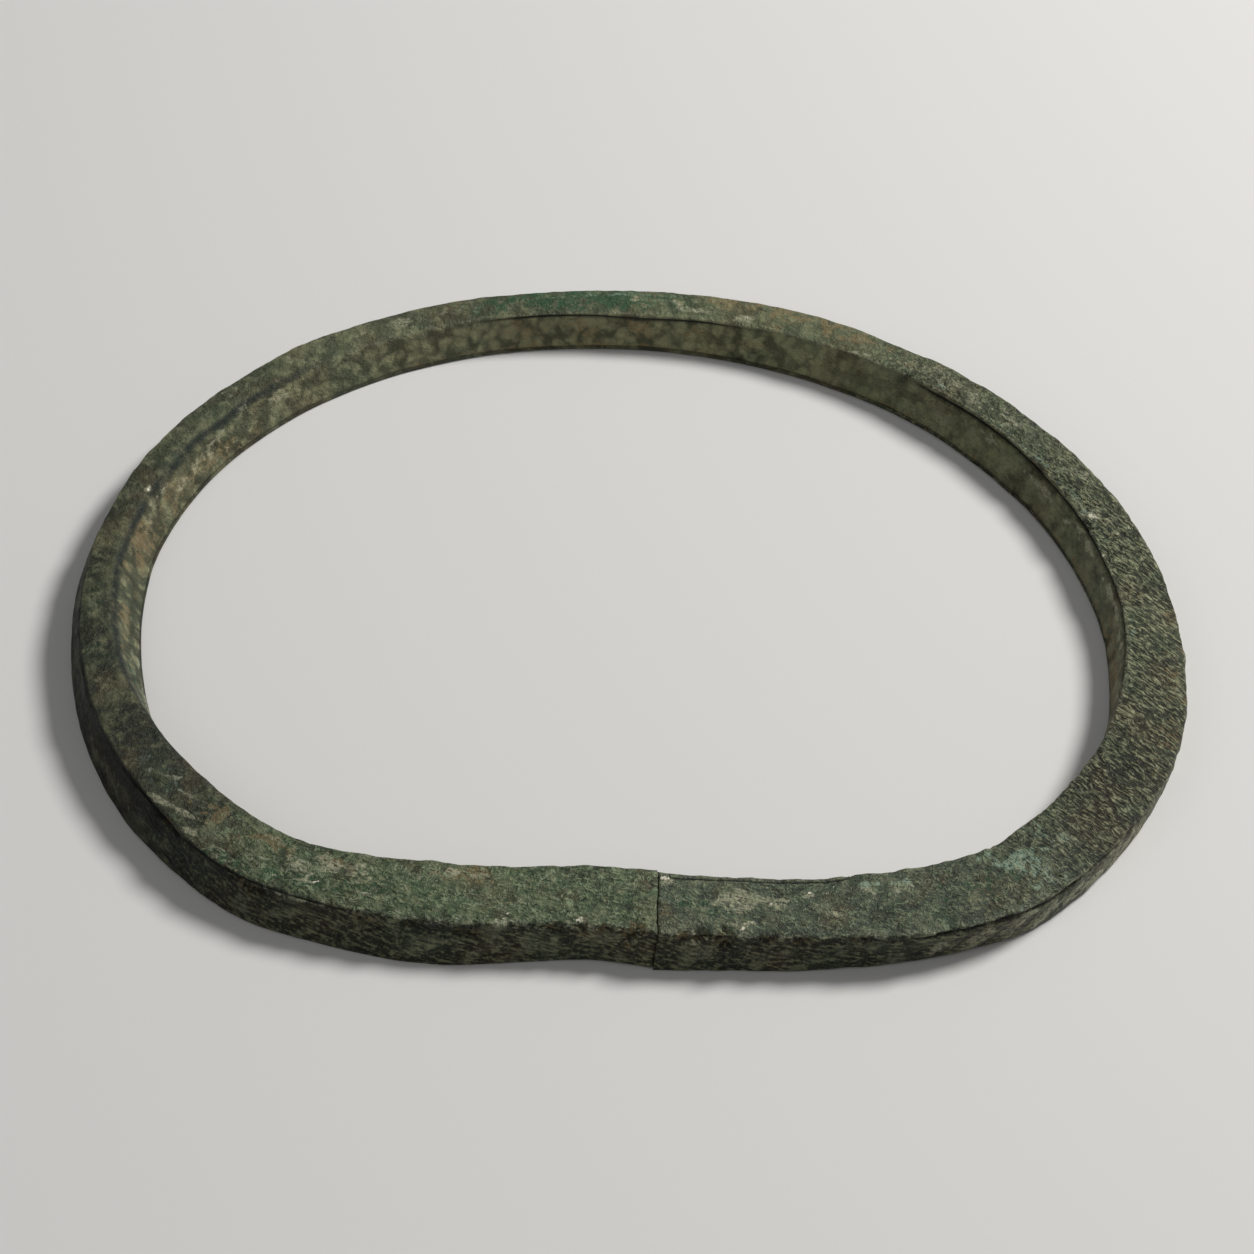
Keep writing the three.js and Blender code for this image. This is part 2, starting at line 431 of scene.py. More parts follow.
# The outer top edge is broken and flaked along the front, and only rubbed elsewhere.
edge_lumps = lumps(skin, size=0.7, seed=16, octaves=3)
least_flaking = 0.15
flake_depth, flake_rise = 0.16, 0.03
flaking = least_flaking + (1 - least_flaking) * round_front(18, 30, 174, 184)
outer_edges = np.exp(-((across - 1) / 0.07) ** 2) * flaking
inner_edges = 0.5 * np.exp(-((across - 2) / 0.06) ** 2) * (1 - inner_groove)
relief -= flake_depth * outer_edges * np.clip(edge_lumps + 0.1, 0, 1)
relief += flake_rise * outer_edges * np.clip(-edge_lumps, 0, 1)

# The chips out of the edges: place along the bar, numbered place across it, length, width and
# depth. Each is drawn chip_spread larger, because its ragged edge eats into it.
chip_spread = 1.2
edge_chips = [
    (1.6, 0.98, 0.9, 0.7, 0.22),
    (2.8, 1.0, 1.2, 1.1, 0.4),
    (4.4, 0.98, 1.1, 1.5, 0.45),
    (7.0, 0.96, 1.2, 0.6, 0.2),
    (8.9, 0.96, 1.6, 0.7, 0.2),
    (12.2, 0.97, 1.8, 0.5, 0.16),
    (17.5, 0.95, 2.2, 0.5, 0.14),
    (20.5, 0.93, 1.8, 0.6, 0.14),
    (24.6, 0.92, 2.4, 0.6, 0.12),
    (58.5, 2.0, 1.4, 0.7, 0.18),
    (65.5, 2.02, 1.8, 0.6, 0.15),
    (176, 0.97, 2.4, 0.6, 0.2),
    (182.5, 0.93, 2.8, 0.7, 0.22),
    (190.2, 0.78, 1.8, 1.3, 0.22),
    (192.7, 0.88, 1.2, 0.7, 0.15),
    (195.9, 0.8, 2.2, 0.9, 0.2),
    (201.2, 0.94, 1.7, 0.7, 0.22),
    (202.9, 0.97, 1.1, 0.9, 0.28),
    (204.6, 0.97, 1.0, 0.8, 0.24),
    (206.0, 0.92, 1.3, 1.3, 0.32),
]
chipped = np.zeros_like(relief)
for place, number, length, width, depth in edge_chips:
    chip = mark(place, number, chip_spread * length, chip_spread * width, ragged=0.6, soft=0.5)
    relief -= depth * chip
    chipped = np.maximum(chipped, chip)

# The patina's patches, as far as they stand out one by one: place along the bar, numbered place
# across it, length, width, lean in degrees and strength. The white crystals come last.
pale_patches = [
    (6.2, 1.62, 7, 2.0, 0, 0.75),
    (6.8, 1.65, 2.0, 1.4, 0, 1.2),
    (5.4, 1.15, 1.2, 1.2, 0, 1.0),
    (0.6, 1.88, 1.2, 0.7, 0, 1.2),
    (9.5, 1.7, 2.4, 0.6, 10, 0.9),
    (11.5, 1.35, 1.6, 0.4, -20, 0.8),
    (14.8, 1.2, 1.8, 0.5, 25, 0.8),
    (203.4, 0.98, 1.2, 0.9, 0, 1.2),
    (198.5, 1.05, 1.4, 0.5, 0, 0.9),
    (13.5, 1.75, 6, 1.2, 0, 0.6),
    (29, 0.4, 12, 1.8, 0, 1.1),
    (17.2, 0.5, 2.4, 0.7, 50, 1.4),
    (19.4, 0.45, 2.8, 0.75, 50, 1.5),
    (21.6, 0.45, 3.0, 0.75, 50, 1.5),
    (23.6, 0.45, 2.8, 0.75, 50, 1.4),
    (58, 1.6, 5.5, 1.8, 0, 0.6),
    (58.9, 1.75, 1.9, 1.4, 0, 1.3),
    (70.5, 1.6, 2.2, 1.5, 20, 1.4),
    (63.5, 1.4, 2.2, 1.0, 30, 0.8),
    (72.5, 1.6, 5.0, 1.6, 20, 0.85),
    (26.5, 1.5, 8, 2.6, 40, 0.55),
    (83.3, 1.9, 2.6, 0.5, 0, 0.7),
    (74, 1.5, 14, 1.8, 0, 0.6),
    (92.6, 1.75, 3.0, 0.8, 0, 0.75),
    (96.4, 1.7, 4.5, 0.6, 0, 0.6),
    (99, 1.45, 4, 0.6, 0, 0.6),
    (106, 1.3, 3, 0.6, 0, 0.5),
    (119, 1.5, 10, 1.2, 0, 0.55),
    (130, 1.4, 9, 1.2, 0, 0.5),
    (144, 1.92, 0.8, 0.6, 0, 1.0),
    (174.4, 1.15, 2.6, 0.45, 20, 1.0),
    (176.2, 1.28, 2.4, 0.4, 14, 1.1),
    (178.0, 1.12, 2.2, 0.5, 12, 1.0),
    (179.9, 1.22, 2.6, 0.4, 18, 1.1),
    (182.4, 1.42, 3.0, 0.3, 14, 0.9),
    (175.6, 1.6, 2.2, 0.3, 20, 0.7),
    (184.5, 1.25, 3.4, 0.3, 10, 0.8),
    (189.5, 1.3, 3.0, 0.3, -12, 0.8),
    (172.6, 1.5, 2.4, 0.6, 30, 0.6),
    (55.2, 2.03, 0.8, 0.4, 0, 1.0),
    (137, 2.3, 9, 1.2, 10, 0.6),
    (131, 2.35, 7, 1.0, 10, 0.6),
    (144.5, 2.25, 5, 0.8, 10, 0.55),
    (160, 2.55, 7, 0.6, 0, 0.5),
    (184.8, 1.5, 2.2, 1.3, 30, 0.95),
    (187.2, 1.6, 4, 1.5, 0, 1.25),
    (183.4, 1.82, 5, 0.5, 0, 0.6),
    (191.8, 1.7, 1.6, 1.1, 0, 0.8),
    (194.6, 1.82, 1.8, 0.7, 0, 1.25),
    (196.6, 1.78, 1.4, 0.5, 0, 0.9),
    (200, 1.4, 3.4, 1.2, 0, 0.5),
    (163, 2.8, 12, 0.5, 0, 0.8),
    (168, 0.3, 9, 0.9, 0, 0.55),
    (205.9, 0.97, 0.8, 0.7, 0, 1.0),
    (49, 2.25, 8, 0.6, 0, 0.8),
    (56.5, 2.2, 6, 0.8, 0, 0.9),
    (63, 2.3, 7, 0.6, 0, 0.7),
    (71, 2.25, 6, 0.6, 0, 0.6),
]
green_patches = [
    (2.4, 1.5, 3.5, 2.2, 0, 0.6),
    (23, 1.5, 9, 3.5, 0, 0.5),
    (103, 1.4, 17, 2.0, 0, 0.95),
    (166, 2.5, 12, 1.8, 0, 0.6),
    (180.8, 1.15, 4.2, 1.5, 0, 1.3),
    (184, 1.25, 6, 1.8, 0, 0.8),
    (178, 0.6, 9, 1.6, 0, 0.5),
    (188, 1.4, 11, 3, 0, 0.45),
    (198, 1.4, 11, 3, 0, 0.4),
    (193, 0.5, 8, 1.2, 0, 0.35),
]
ochre_patches = [
    (42, 1.2, 14, 1.8, 0, 0.5),
    (44, 2.6, 9, 1.3, 0, 0.9),
    (88.5, 1.3, 17, 2.2, 0, 0.8),
    (103, 2.92, 22, 0.4, 0, 0.8),
    (79, 2.92, 16, 0.4, 0, 0.7),
    (148.7, 2.4, 4.5, 1.9, 0, 0.95),
    (156.6, 2.3, 4.5, 1.4, 0, 0.95),
    (152, 2.7, 8, 0.8, 0, 0.6),
    (139, 2.5, 18, 2.2, 0, 0.6),
    (177.8, 1.62, 3.4, 1.6, 0, 1.3),
    (182.0, 1.75, 3.4, 1.2, 0, 0.8),
    (195.6, 1.8, 4.6, 1.3, 0, 1.0),
    (203.3, 0.95, 1.6, 1.4, 0, 1.1),
    (205.8, 0.9, 1.8, 1.6, 0, 1.2),
    (50, 2.85, 22, 0.6, 0, 0.7),
    (187.4, 1.75, 3.2, 1.2, 0, 0.6),
    (0.6, 1.4, 1.6, 2.4, 0, 0.35),
    (109.3, 2.35, 2.4, 1.5, 0, 0.7),
    (104.8, 2.35, 2.6, 1.6, 0, 0.7),
    (100.6, 2.35, 2.4, 1.6, 0, 0.7),
    (96.5, 2.4, 2.4, 1.4, 0, 0.7),
    (91, 2.45, 3, 1.2, 0, 0.5),
]
dark_patches = [
    (168, 1.6, 14, 3.4, 0, 0.75),
    (170, 0.8, 15, 1.2, 0, 1.1),
    (177, 0.6, 12, 1.6, 0, 0.6),
    (158, 1.75, 16, 1.0, 0, 0.45),
    (186, 1.85, 9, 0.8, 0, 0.5),
    (27.6, 1.25, 0.9, 0.8, 0, 0.8),
    (41.6, 1.45, 1.4, 1.0, 0, 0.5),
    (66, 1.8, 12, 0.9, 0, 0.45),
    (48, 1.85, 14, 1.0, 0, 0.4),
]
mint_patches = [
    (23.2, 1.65, 2.0, 1.4, -40, 1.2),
    (23.4, 1.62, 3.6, 2.2, -40, 0.9),
    (25.4, 1.5, 8.0, 3.4, 40, 0.62),
    (14.0, 1.8, 4.2, 0.6, 0, 0.95),
    (179, 1.1, 3, 0.4, 0, 0.5),
    (101, 1.2, 7, 0.5, 0, 0.5),
    (66, 1.88, 26, 0.5, 0, 0.6),
    (46, 1.9, 18, 0.45, 0, 0.45),
    (171.5, 1.45, 6, 2.2, 0, 0.35),
]
crystals = [
    (5.05, 1.1, 0.55, 0.3, 20, 1),
    (5.45, 1.1, 0.5, 0.35, -40, 1),
    (5.3, 1.02, 0.6, 0.25, 0, 1),
    (6.5, 1.6, 0.35, 0.25, 30, 1),
    (7.2, 1.56, 0.35, 0.25, 0, 1),
    (9.6, 1.75, 0.4, 0.25, 0, 1),
    (11.5, 1.87, 0.6, 0.2, 10, 1),
    (0.45, 1.93, 0.5, 0.3, 0, 1),
    (55.2, 2.02, 0.7, 0.4, 30, 1),
    (58.9, 1.75, 0.6, 0.5, 0, 1),
    (70.6, 1.65, 0.7, 0.5, 0, 1),
    (144, 1.95, 0.4, 0.25, 0, 0.6),
    (186.4, 1.35, 0.5, 0.25, 30, 0.7),
    (191.9, 1.8, 0.45, 0.3, 0, 0.7),
    (198.3, 1.15, 0.3, 0.25, 0, 0.7),
    (202.8, 1.1, 0.4, 0.3, 20, 0.7),
]


patch_spread = 1.3


def layer_of(patches):
    """All the patches of one kind, each drawn larger because it thins out to a ragged edge."""
    layer = np.zeros_like(relief)
    for place, number, length, width, turned, strength in patches:
        size = (patch_spread * length, patch_spread * width)
        layer = np.maximum(layer, strength * mark(place, number, *size, turned, ragged=0.9, soft=0.9))
    return layer


pale = layer_of(pale_patches)
green = layer_of(green_patches)
ochre = layer_of(ochre_patches)
dark = layer_of(dark_patches)
mint = layer_of(mint_patches)
white = layer_of(crystals)

# Fine pale veins run through the scale, most of all round the front and on the upper right-hand
# arm, where the crust is also granular.
veined = np.maximum(1 - eased(20, 40, along), 1.2 * eased(174, 180, along))[:, None]
veined = np.maximum(veined, 0.8 * stretch(48, 56, 70, 78))
veined = np.maximum(veined, 0.25) * (on_top + 0.35 * on_outer)
granular = np.maximum(0.9 * stretch(48, 56, 78, 86), 0.3 * round_front(10, 18, 176, 184)) * on_top

# The crust, the pale patches and the crystals stand a little proud of the scale.
crust = eased(0.15, 0.4, lumps(skin, size=1.5, seed=31, octaves=3)) * (1 - 0.6 * on_outer)
crust_height, patch_height, crystal_height = 0.03, 0.035, 0.06
relief += crust_height * crust * crisp + patch_height * np.maximum(pale, mint) + crystal_height * white

# Dark dirt and painted shade lie in the pits, cuts and chips. Dark is also painted into the hollow
# knocked into the left outer wall, as painted shade lines under the outer edge, and between the
# pale lobes under the front right-hand corner.
deep_pit = 0.12
lobe_gaps = (18.3, 20.5, 22.6, 24.8)
# A noise that breaks up the painted shade lines under the outer edge.
under_edge_shade_breakup = eased(-0.5, 0.4, lumps(skin, size=1.4, seed=60))
hollow = np.maximum.reduce([
    0.45 * np.clip(pits / deep_pit, 0, 1),
    cut_shade,
    0.3 * chipped,
    0.95 * mark(170.5, 0.78, 15, 1.9, ragged=0.3, soft=0.5),
    # Painted shade lines under the outer top edge: on the left-hand arm, round the front and at the
    # right-hand end.
    0.9 * line(157, 178, 0.94, 0.6, 0.03, 58, 5),
    0.6 * line(172, 201, 0.86, 1.0, 0.03, 59, 6) * under_edge_shade_breakup,
    0.5 * line(3, 18, 0.86, 0.8, 0.03, 61, 4) * under_edge_shade_breakup,
    *(0.7 * mark(place, 0.47, 2.6, 0.3, turned=50) for place in lobe_gaps),
])
rust = chipped * (0.4 + 0.6 * round_front(7, 12, 199, 203))
teal = np.clip(inner_groove + 0.6 * cut_shape["ledge at the back"], 0, 1)

# The whole patina is a little darker or lighter by turns round the hoop. The outer wall of the
# left-hand arm is darkened most, with painted shade, and the outer wall round the front a little,
# as darker patina and painted shade. The outer wall under the front right-hand corner is smoother.
tones = (
    (0, 1.0), (10, 0.94), (18, 0.86), (28, 0.82), (38, 0.86), (48, 1.0), (58, 0.92), (66, 0.84), (78, 0.88),
    (86, 1.1), (92, 1.18), (100, 1.08), (108, 1.0), (125, 1.08), (140, 1.06), (150, 0.92), (160, 0.82),
    (172, 0.76), (182, 0.9), (194, 1.0), (207, 1.06),
)
tone = np.interp(along, *zip(*tones))[:, None]
left_wall_painted_shade = on_outer * stretch(148, 160, 178, 190)
front_wall_patina_and_shade = on_outer * round_front(12, 20, 184, 192)
tone = tone * (1 - 0.45 * left_wall_painted_shade) * (1 - 0.15 * front_wall_patina_and_shade)
smooth_wall = on_outer * stretch(18, 24, 42, 52)

# The skin pushed in or out by the relief, which is shallow underneath and along the outer foot,
# so that the bangle lies still.
lengthways = np.gradient(skin, axis=0)
crossways = np.gradient(np.concatenate((skin[:, -1:], skin, skin[:, :1]), axis=1), axis=1)[:, 1:-1]
outwards = np.cross(lengthways, crossways)
outwards /= np.linalg.norm(outwards, axis=2, keepdims=True)
underneath_share, outer_foot_share = 0.25, 0.5
relief *= 1 - (1 - underneath_share) * underneath
relief *= 1 - (1 - outer_foot_share) * np.exp(-(across / 0.25) ** 2)
skin = skin + outwards * relief[:, :, None]

# The two end faces were filed by eye: they nearly touch, along a line that wavers.
seam_waver_depth, seam_waver_size = 0.1, 1.3
seam_fill = 0.045
seam_waver = seam_waver_depth * lumps(skin[[0, -1]].mean(axis=0), seam_waver_size, seed=17, octaves=1)
for ring, outwards_sign in ((0, -1), (-1, 1)):
    skin[ring, :, :2] += forward[ring] * (outwards_sign * seam_fill + seam_waver[:, None])
skin[:, :, 2] = np.maximum(skin[:, :, 2], 0)


def skinned(rings):
    """Faces between neighbouring rings, and one over each end."""
    grid = np.arange(ring_count * points_round).reshape(ring_count, points_round)
    beside = np.roll(grid, -1, axis=1)
    quads = np.stack((grid[:-1], grid[1:], beside[1:], beside[:-1]), axis=-1).reshape(-1, 4)
    faces = quads.tolist()
    faces.append(grid[0].tolist())
    faces.append(grid[-1, ::-1].tolist())
    mesh = bpy.data.meshes.new("bronze_bar")
    mesh.from_pydata((rings.reshape(-1, 3) * MM).tolist(), [], faces)
    mesh.polygons.foreach_set("use_smooth", [True] * len(quads) + [False, False])
    return mesh


bar_mesh = skinned(skin)
layers = {
    "place": unrolled[:, :, 0] / bar_length,
    "top": on_top,
    "inner": on_inner,
    "pale": pale,
    "green": green,
    "ochre": ochre,
    "dark": dark,
    "mint": mint,
    "white": white,
    "hollow": hollow,
    "teal": teal,
    "rust": rust,
    "crust": crust,
    "strokes": strokes_here,
    "edges": np.maximum(outer_edges, inner_edges),
    "crisp": np.broadcast_to(crisp, relief.shape),
    "granular": granular,
    "veined": veined,
    "high_spots": high_spots,
    "tone": tone,
    "smooth_wall": smooth_wall,
}
for name, values in layers.items():
    attribute = bar_mesh.attributes.new(name, "FLOAT", "POINT")
    attribute.data.foreach_set("value", values.ravel().astype(np.float32))
attribute = bar_mesh.attributes.new("unrolled", "FLOAT_VECTOR", "POINT")
attribute.data.foreach_set("vector", unrolled.ravel().astype(np.float32))


class Wire:
    """What comes out of one node. Sums with it add Math nodes."""

    def __init__(self, finish, socket):
        self.finish = finish
        self.socket = socket

    def sum(self, operation, first, second):
        return self.finish.node("ShaderNodeMath", {"operation": operation}, {0: first, 1: second})

    def __add__(self, other):
        return self.sum("ADD", self, other)

    def __sub__(self, other):
        return self.sum("SUBTRACT", self, other)

    def __rsub__(self, other):
        return self.sum("SUBTRACT", other, self)

    def __mul__(self, other):
        return self.sum("MULTIPLY", self, other)

    __radd__ = __add__
    __rmul__ = __mul__


class Finish:
    """One material, built a node at a time."""

    def __init__(self, name):
        self.material = bpy.data.materials.new(name)
        self.material.use_nodes = True
        self.material.node_tree.nodes.clear()

    def node(self, kind, settings, inputs, output=0):
        made = self.material.node_tree.nodes.new(kind)
        for name, value in settings.items():
            if name == "stops":
                self.set_stops(made.color_ramp, value)
            else:
                setattr(made, name, value)
        for name, value in inputs.items():
            if isinstance(value, Wire):
                self.material.node_tree.links.new(value.socket, made.inputs[name])
            else:
                made.inputs[name].default_value = value
        return Wire(self, made.outputs[output]) if made.outputs else None

    def set_stops(self, ramp, stops):
        while len(ramp.elements) < len(stops):
            ramp.elements.new(1)
        for element, (place, colour) in zip(ramp.elements, stops):
            element.position = place
            element.color = colour

    def layer(self, name, output="Fac"):
        return self.node("ShaderNodeAttribute", {"attribute_name": name}, {}, output)

    def mottle(self, place, size, detail=3, roughness=0.6):
        """Noise of about a size in mm, spread evenly from 0 to 1."""
        inputs = {"Vector": place, "Scale": 1 / size, "Detail": detail, "Roughness": roughness}
        return self.between(self.node("ShaderNodeTexNoise", {}, inputs), 0.3, 0.7)

    def between(self, value, low, high):
        """0 below low and 1 above high."""
        inputs = {"Value": value, "From Min": low, "From Max": high}
        return self.node("ShaderNodeMapRange", {"interpolation_type": "SMOOTHSTEP"}, inputs)

    def bent(self, place, scale, bend, detail=1):
        """A place pushed about by soft noise, so that what is drawn at it curls."""
        noise = {"Vector": place, "Scale": scale, "Detail": detail}
        push = self.node("ShaderNodeTexNoise", {}, noise, 1)
        bends = {0: push, 1: (bend, bend, bend), 2: place}
        return self.node("ShaderNodeVectorMath", {"operation": "MULTIPLY_ADD"}, bends)

    def stroke_units(self, place, size, turn=0.0):
        """A place measured in lengths and widths of a stroke, which is turned by an angle."""
        inputs = {"Vector": place, "Rotation": (0, 0, turn), "Scale": (*size, 1)}
        return self.node("ShaderNodeMapping", {"vector_type": "TEXTURE"}, inputs)

    def mixed(self, factor, first, second):
        return self.node("ShaderNodeMix", {"data_type": "RGBA"}, {0: factor, 6: first, 7: second}, 2)


def seen(red, green, blue):
    """A colour as it looks, 0 to 255, as the light it gives back."""
    return (*(((value / 255 + 0.055) / 1.055) ** 2.4 for value in (red, green, blue)), 1)


def colours_along(rows):
    """Colours by place along the bar, in mm, as the stops of a ramp."""
    return [(place / bar_length, colour) for place, colour in rows]


bronze = Finish("bronze_patina")
position = bronze.node("ShaderNodeTexCoord", {}, {}, "Object")
place_mm = bronze.node("ShaderNodeVectorMath", {"operation": "SCALE"}, {0: position, "Scale": 1 / MM})
on_skin = bronze.layer("unrolled", "Vector")

broad = bronze.mottle(place_mm, 5)
blotches = bronze.mottle(place_mm, 1.8, 4)
specks = bronze.mottle(place_mm, 0.6, 4, 0.7)
grain = bronze.mottle(place_mm, 0.24, 3, 0.7)

# Strokes and drips, by length and width in mm: the arm's are a little bent, the skin's slant.
arm_stroke, skin_stroke, wall_drip = (0.6, 0.17), (0.7, 0.2), (0.5, 2.4)
bent_place = bronze.bent(place_mm, 1.1, 0.45)
fine_strokes = bronze.mottle(bronze.stroke_units(bent_place, arm_stroke, stroke_turn), 1)
skin_strokes = bronze.mottle(bronze.stroke_units(on_skin, skin_stroke, math.radians(-14)), 1, 4)

# The ground colour of each face, from the right-hand end round to the left-hand end.
top_colours = [
    (0, seen(92, 104, 88)),
    (8, seen(80, 94, 78)),
    (22, seen(80, 93, 77)),
    (30, seen(44, 50, 39)),
    (45, seen(74, 78, 60)),
    (60, seen(76, 82, 62)),
    (72, seen(112, 122, 92)),
    (84, seen(110, 119, 89)),
    (94, seen(90, 100, 74)),
    (103, seen(72, 90, 68)),
    (112, seen(92, 99, 76)),
    (128, seen(94, 99, 76)),
    (145, seen(62, 68, 53)),
    (158, seen(49, 54, 43)),
    (168, seen(41, 47, 40)),
    (176, seen(62, 68, 54)),
    (184, seen(86, 104, 74)),
    (196, seen(89, 109, 79)),
    (bar_length, seen(85, 104, 77)),
]
# The outer wall's colours are darker round the front, as darker patina and painted shade, and darkest on the
# left-hand arm, where the darkness is painted shade.
outer_wall_colours_and_shade = [
    (0, seen(54, 53, 38)),
    (14, seen(54, 53, 38)),
    (19, seen(100, 99, 84)),
    (34, seen(112, 110, 94)),
    (60, seen(80, 80, 62)),
    (110, seen(80, 82, 62)),
    (150, seen(52, 54, 44)),
    (170, seen(23, 27, 21)),
    (184, seen(55, 56, 38)),
    (bar_length, seen(55, 54, 37)),
]
inner_colours = [
    (0, seen(78, 80, 62)),
    (36, seen(138, 130, 104)),
    (50, seen(138, 138, 114)),
    (70, seen(148, 152, 112)),
    (95, seen(138, 140, 106)),
    (112, seen(134, 134, 102)),
    (128, seen(106, 108, 82)),
    (146, seen(97, 97, 74)),
    (156, seen(88, 91, 69)),
    (170, seen(86, 96, 74)),
    (bar_length, seen(80, 82, 62)),
]
place_along = bronze.layer("place") + (blotches - 0.5) * 0.03


def ground(rows):
    """The ground colour of one face, its stops blurred by the blotches."""
    return bronze.node("ShaderNodeValToRGB", {"stops": colours_along(rows)}, {"Fac": place_along})


on_top_here = bronze.layer("top")
on_inner_here = bronze.layer("inner")
base = bronze.mixed(on_top_here, ground(outer_wall_colours_and_shade), ground(top_colours))
base = bronze.mixed(on_inner_here, base, ground(inner_colours))

# The colours that lie on the ground.
dark_tone = seen(36, 38, 28)
light_tone = seen(162, 164, 128)
leaf_green = seen(62, 90, 66)
umber = seen(108, 92, 66)
khaki = seen(148, 151, 114)
olive_black = seen(50, 52, 36)
worn_cream = seen(156, 156, 120)
moss = seen(58, 62, 42)
slate = seen(44, 49, 42)
malachite = seen(48, 92, 62)
rust_brown = seen(84, 62, 36)
rust_light = seen(168, 132, 76)
earth = seen(148, 130, 92)
crust_grey = seen(140, 140, 114)
cream = seen(188, 188, 160)
mint_green = seen(160, 184, 162)
# The light of the rubbed and highlit high spots of the scale.
scale_wear_and_highlight = seen(150, 154, 124)
granule_gap = seen(34, 42, 30)
granule_cream = seen(172, 174, 138)
soot = seen(24, 26, 19)
fleck_cream = seen(186, 186, 152)
vein_green = seen(156, 172, 140)
rubbed_edge_and_highlight = seen(170, 172, 150)
deep_teal = seen(34, 46, 42)
# The black of the dirt and painted shade in the hollows.
grime_and_shade_black = seen(15, 17, 13)
crystal_white = seen(240, 236, 216)

# Darker and lighter blotches in the ground, which is more even where it is worn.
unevenness = blotches * 0.6 + specks * 0.4
crispness = bronze.layer("crisp")
worn = 1 - crispness
on_strokes = bronze.layer("strokes")
evenness = worn + (1 - on_top_here) * 0.4 + on_strokes * 0.5
soft_face = worn + on_inner_here * crispness * 0.4
base = bronze.mixed(bronze.between(broad, 0.5, 0.0) * 0.25, base, dark_tone)
base = bronze.mixed(bronze.between(unevenness, 0.48, 0.12) * (0.6 - evenness * 0.45), base, dark_tone)
base = bronze.mixed(bronze.between(unevenness, 0.55, 0.95) * (0.4 - evenness * 0.2), base, light_tone)

# The ground drifts between green and brown.
drift = bronze.mottle(place_mm, 3.6, 2)
base = bronze.mixed(bronze.between(drift, 0.55, 1.0) * 0.35, base, leaf_green)
base = bronze.mixed(bronze.between(drift, 0.45, 0.0) * 0.35, base, umber)

# Worn faces, and the inner wall, show soft drips and rounded light lumps with dark between them.
drips = bronze.mottle(bronze.stroke_units(on_skin, wall_drip), 1)
soft_blotches = bronze.mottle(place_mm, 2.2, 3, 0.5)
streaks = drips * on_inner_here * 0.35 + soft_blotches * (1 - on_inner_here * 0.35)
base = bronze.mixed(bronze.between(streaks, 0.5, 1.0) * soft_face * 0.6, base, khaki)
base = bronze.mixed(bronze.between(streaks, 0.5, 0.05) * soft_face * 0.4, base, olive_black)
lump_shape = {"Vector": bronze.bent(place_mm, 0.8, 1.6, 2), "Scale": 1.0, "Smoothness": 0.35}
from_lump = bronze.node("ShaderNodeTexVoronoi", {"feature": "SMOOTH_F1"}, lump_shape)
from_lump = from_lump + (specks - 0.5) * 0.16 + (grain - 0.5) * 0.08
lump_light = bronze.between(from_lump, 0.55, 0.1) * bronze.between(specks, 0.1, 0.7)
lump_shade = bronze.between(from_lump, 0.36, 0.78)
base = bronze.mixed(lump_light * soft_face * (on_inner_here * 0.5 + 0.8), base, worn_cream)
base = bronze.mixed(lump_shade * soft_face * (on_inner_here * 0.4 + 0.6), base, moss)

# The patina's layers lie on the ground, broken up by the grain.
fragments = specks * 0.5 + grain * 0.3 + blotches * 0.2


def broken(name):
    """How far one patina layer covers the bronze, in fragments where it is thin."""
    thickness = bronze.layer(name) * 1.1 - fragments
    return bronze.between(thickness, -0.05 - worn * 0.3, 0.2 + worn * 0.4)


crust_here = bronze.layer("crust")
rust_here = bronze.layer("rust")
base = bronze.mixed(broken("dark") * 0.7, base, slate)
base = bronze.mixed(broken("green") * 0.7, base, malachite)
base = bronze.mixed(rust_here * bronze.between(grain, 0.0, 0.8), base, rust_brown)
base = bronze.mixed(rust_here * bronze.between(specks, 0.6, 0.8) * 0.8, base, rust_light)
base = bronze.mixed(broken("ochre") * 0.6, base, earth)
base = bronze.mixed(crust_here * bronze.between(fragments, 0.5, 0.7) * 0.3, base, crust_grey)
streak_light = skin_strokes * (1 - on_strokes) + fine_strokes * on_strokes
pale_streaks = bronze.between(grain * 0.5 + streak_light * 0.5, 0.2, 0.65) * 0.65 + 0.2
base = bronze.mixed(broken("pale") * pale_streaks, base, cream)
base = bronze.mixed(broken("mint") * (pale_streaks + 0.1), base, mint_green)

# The high spots of the scale are painted light, as rubbed wear and painted highlight, and the low
# ones are darkened with painted shade.
spots = bronze.layer("high_spots")
base = bronze.mixed(bronze.between(spots, 0.55, 0.95) * (crispness * 0.4 + 0.1), base, scale_wear_and_highlight)
spot_shade = (crispness * 0.5 - 0.05) * (1 - on_strokes * 0.5)
base = bronze.mixed(bronze.between(spots, 0.45, 0.1) * spot_shade, base, dark_tone)

# Rounded cream granules, packed close on the upper right-hand arm.
granule_shape = {"Vector": bronze.bent(place_mm, 2.0, 0.7), "Scale": 2.6}
from_granule = bronze.node("ShaderNodeTexVoronoi", {"feature": "F1"}, granule_shape)
granular_here = bronze.layer("granular")
granule_tops = bronze.between(from_granule, 0.45, 0.12) * granular_here
base = bronze.mixed(bronze.between(from_granule, 0.4, 0.7) * granular_here * 0.6, base, granule_gap)
base = bronze.mixed(granule_tops * bronze.between(specks, 0.2, 0.6) * 0.55, base, granule_cream)

